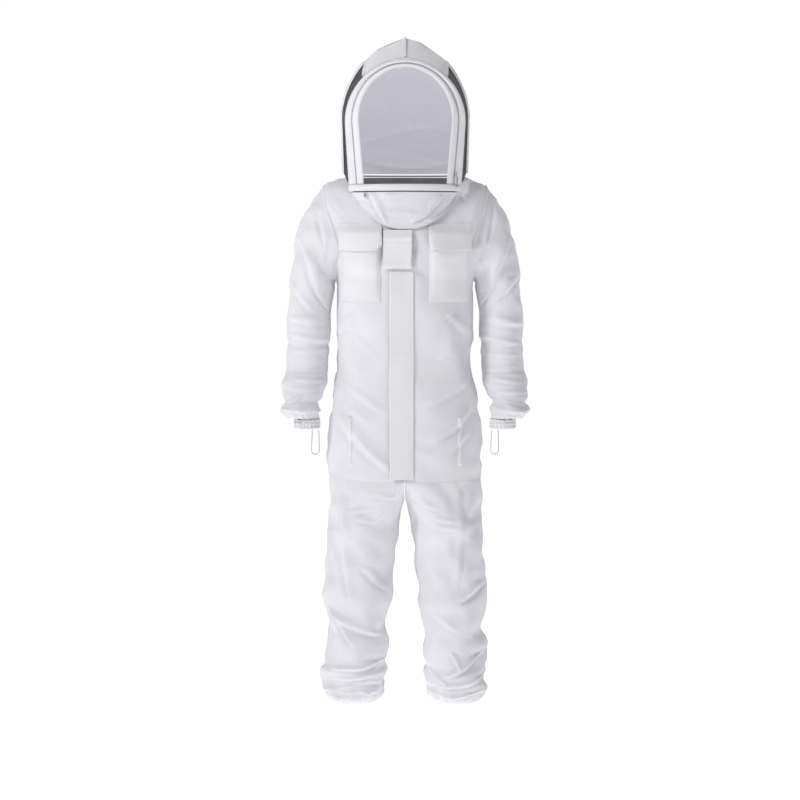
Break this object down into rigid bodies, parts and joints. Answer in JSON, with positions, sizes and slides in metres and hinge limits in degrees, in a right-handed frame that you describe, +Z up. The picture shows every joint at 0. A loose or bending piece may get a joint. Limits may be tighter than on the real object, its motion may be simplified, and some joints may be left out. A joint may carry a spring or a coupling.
{
  "type": "beekeeping suit",
  "caption": "Full-length white protective coverall with a zip-on fencing veil hood, flapped chest pockets, a covered front zip, and elastic cuffs, hems and thumb loops.",
  "frame": {"origin": "centre of the neck opening, where the wearer's shoulders carry the suit", "axes": "+Z up the body, -Y out of the chest, +X to the wearer's left"},
  "size_m": [0.667, 0.3482, 1.7816],
  "materials": {
    "cotton": "matte white poly-cotton twill",
    "side_net": "matte black polyester net",
    "face_net": "fine black veil net, see-through",
    "elastic": "ribbed elastic",
    "zip_metal": "satin nickel",
    "zip_tape": "woven tape with moulded teeth",
    "stay": "plain spring plastic"
  },
  "bodies": {
    "torso": {"front_panel_left": "cotton", "front_panel_right": "cotton", "back_panel": "cotton", "main_zip_left": "zip_tape", "main_zip_right": "zip_tape", "chest_pocket_left": "cotton", "chest_pocket_right": "cotton", "hip_pocket_welt_left": "cotton", "hip_pocket_welt_right": "cotton", "sleeve_head_left": "cotton", "sleeve_head_right": "cotton", "trouser_seat_left": "cotton", "trouser_seat_right": "cotton"},
    "hood": {"front_hoop_channel": "cotton", "front_hoop_stay": "stay", "rear_hoop_stay": "stay", "hood_back": "cotton", "chin_band": "cotton", "throat_panel": "cotton", "neck_band": "cotton", "side_net_front_left": "side_net", "side_net_rear_left": "side_net", "rear_hoop_channel_left": "cotton", "crown_left": "cotton", "side_net_front_right": "side_net", "side_net_rear_right": "side_net", "rear_hoop_channel_right": "cotton", "crown_right": "cotton"},
    "veil": {"veil_band": "cotton", "face_net": "face_net"},
    "throat_tab": {"throat_tab": "cotton"},
    "placket": {"placket_flap": "cotton"},
    "main_zip": {"main_zip_slider": "zip_metal", "main_zip_pull": "zip_metal"},
    "veil_zip": {"veil_zip_slider": "zip_metal"},
    "veil_pull": {"veil_zip_pull": "zip_metal"},
    "neck_zip": {"neck_zip_slider": "zip_metal"},
    "pocket_flap_left": {"pocket_flap_left": "cotton"},
    "upper_sleeve_left": {"upper_sleeve_left": "cotton", "elbow_fold_left": "cotton"},
    "forearm_left": {"forearm_sleeve_left": "cotton", "cuff_elastic_left": "elastic"},
    "thumb_loop_left": {"thumb_loop_left": "elastic"},
    "leg_left": {"trouser_leg_left": "cotton", "hem_elastic_left": "elastic"},
    "pocket_flap_right": {"pocket_flap_right": "cotton"},
    "upper_sleeve_right": {"upper_sleeve_right": "cotton", "elbow_fold_right": "cotton"},
    "forearm_right": {"forearm_sleeve_right": "cotton", "cuff_elastic_right": "elastic"},
    "thumb_loop_right": {"thumb_loop_right": "elastic"},
    "leg_right": {"trouser_leg_right": "cotton", "hem_elastic_right": "elastic"}
  },
  "joints": [
    {"name": "hood_fold", "type": "hinge", "parent": "torso", "child": "hood", "pos_m": [0, 0.122, 0.038], "axis": [-1, 0, 0], "range_deg": [0, 95]},
    {"name": "veil_open", "type": "hinge", "parent": "hood", "child": "veil", "pos_m": [0, -0.153, 0.004], "axis": [1, 0, 0], "range_deg": [0, 110]},
    {"name": "throat_tab_lift", "type": "hinge", "parent": "hood", "child": "throat_tab", "pos_m": [-0.01962, -0.15291, -0.11493], "axis": [-1, 0, 0], "range_deg": [0, 130]},
    {"name": "placket_open", "type": "hinge", "parent": "torso", "child": "placket", "pos_m": [0.0221, -0.13544, -0.49904], "axis": [0, -0.0216, 0.9998], "range_deg": [0, 80]},
    {"name": "main_zip_slide", "type": "slide", "parent": "torso", "child": "main_zip", "axis": [0, 0.0215, -0.9998], "range_m": [0, 0.48]},
    {"name": "veil_zip_slide", "type": "slide", "parent": "hood", "child": "veil_zip", "axis": [0.0747, -0.1435, 0.9868], "range_m": [0, 0.11]},
    {"name": "veil_pull_swing", "type": "hinge", "parent": "veil_zip", "child": "veil_pull", "pos_m": [0.13561, -0.11215, 0.02427], "axis": [-0.6919, -0.7219, 0], "range_deg": [0, 110]},
    {"name": "neck_zip_run", "type": "hinge", "parent": "hood", "child": "neck_zip", "pos_m": [-0.02151, 0.00688, -0.026], "axis": [0, 0, 1], "range_deg": [-12, 12]},
    {"name": "pocket_flap_left_lift", "type": "hinge", "parent": "torso", "child": "pocket_flap_left", "pos_m": [0.12064, -0.13559, -0.09642], "axis": [-0.9616, -0.2736, 0.0211], "range_deg": [0, 115]},
    {"name": "shoulder_left_raise", "type": "hinge", "parent": "torso", "child": "upper_sleeve_left", "pos_m": [0.185, 0, -0.075], "axis": [0, -1, 0], "range_deg": [0, 60], "deforming": ["sleeve_head_left"]},
    {"name": "elbow_left_bend", "type": "hinge", "parent": "upper_sleeve_left", "child": "forearm_left", "pos_m": [0.262, 0.006, -0.415], "axis": [-1, 0, 0], "range_deg": [0, 75], "deforming": ["elbow_fold_left"]},
    {"name": "thumb_loop_left_swing", "type": "hinge", "parent": "forearm_left", "child": "thumb_loop_left", "pos_m": [0.2405, -0.055, -0.6495], "axis": [1, 0, 0], "range_deg": [-24, 24]},
    {"name": "hip_left_swing", "type": "hinge", "parent": "torso", "child": "leg_left", "pos_m": [0.105, 0.016, -0.8], "axis": [-1, 0, 0], "range_deg": [0, 45], "deforming": ["trouser_seat_left"]},
    {"name": "pocket_flap_right_lift", "type": "hinge", "parent": "torso", "child": "pocket_flap_right", "pos_m": [-0.12064, -0.1356, -0.09642], "axis": [-0.9616, 0.2736, -0.0211], "range_deg": [0, 115]},
    {"name": "shoulder_right_raise", "type": "hinge", "parent": "torso", "child": "upper_sleeve_right", "pos_m": [-0.185, 0, -0.075], "axis": [0, 1, 0], "range_deg": [0, 60], "deforming": ["sleeve_head_right"]},
    {"name": "elbow_right_bend", "type": "hinge", "parent": "upper_sleeve_right", "child": "forearm_right", "pos_m": [-0.262, 0.006, -0.415], "axis": [-1, 0, 0], "range_deg": [0, 75], "deforming": ["elbow_fold_right"]},
    {"name": "thumb_loop_right_swing", "type": "hinge", "parent": "forearm_right", "child": "thumb_loop_right", "pos_m": [-0.2405, -0.055, -0.6495], "axis": [1, 0, 0], "range_deg": [-24, 24]},
    {"name": "hip_right_swing", "type": "hinge", "parent": "torso", "child": "leg_right", "pos_m": [-0.105, 0.016, -0.8], "axis": [-1, 0, 0], "range_deg": [0, 45], "deforming": ["trouser_seat_right"]}
  ]
}
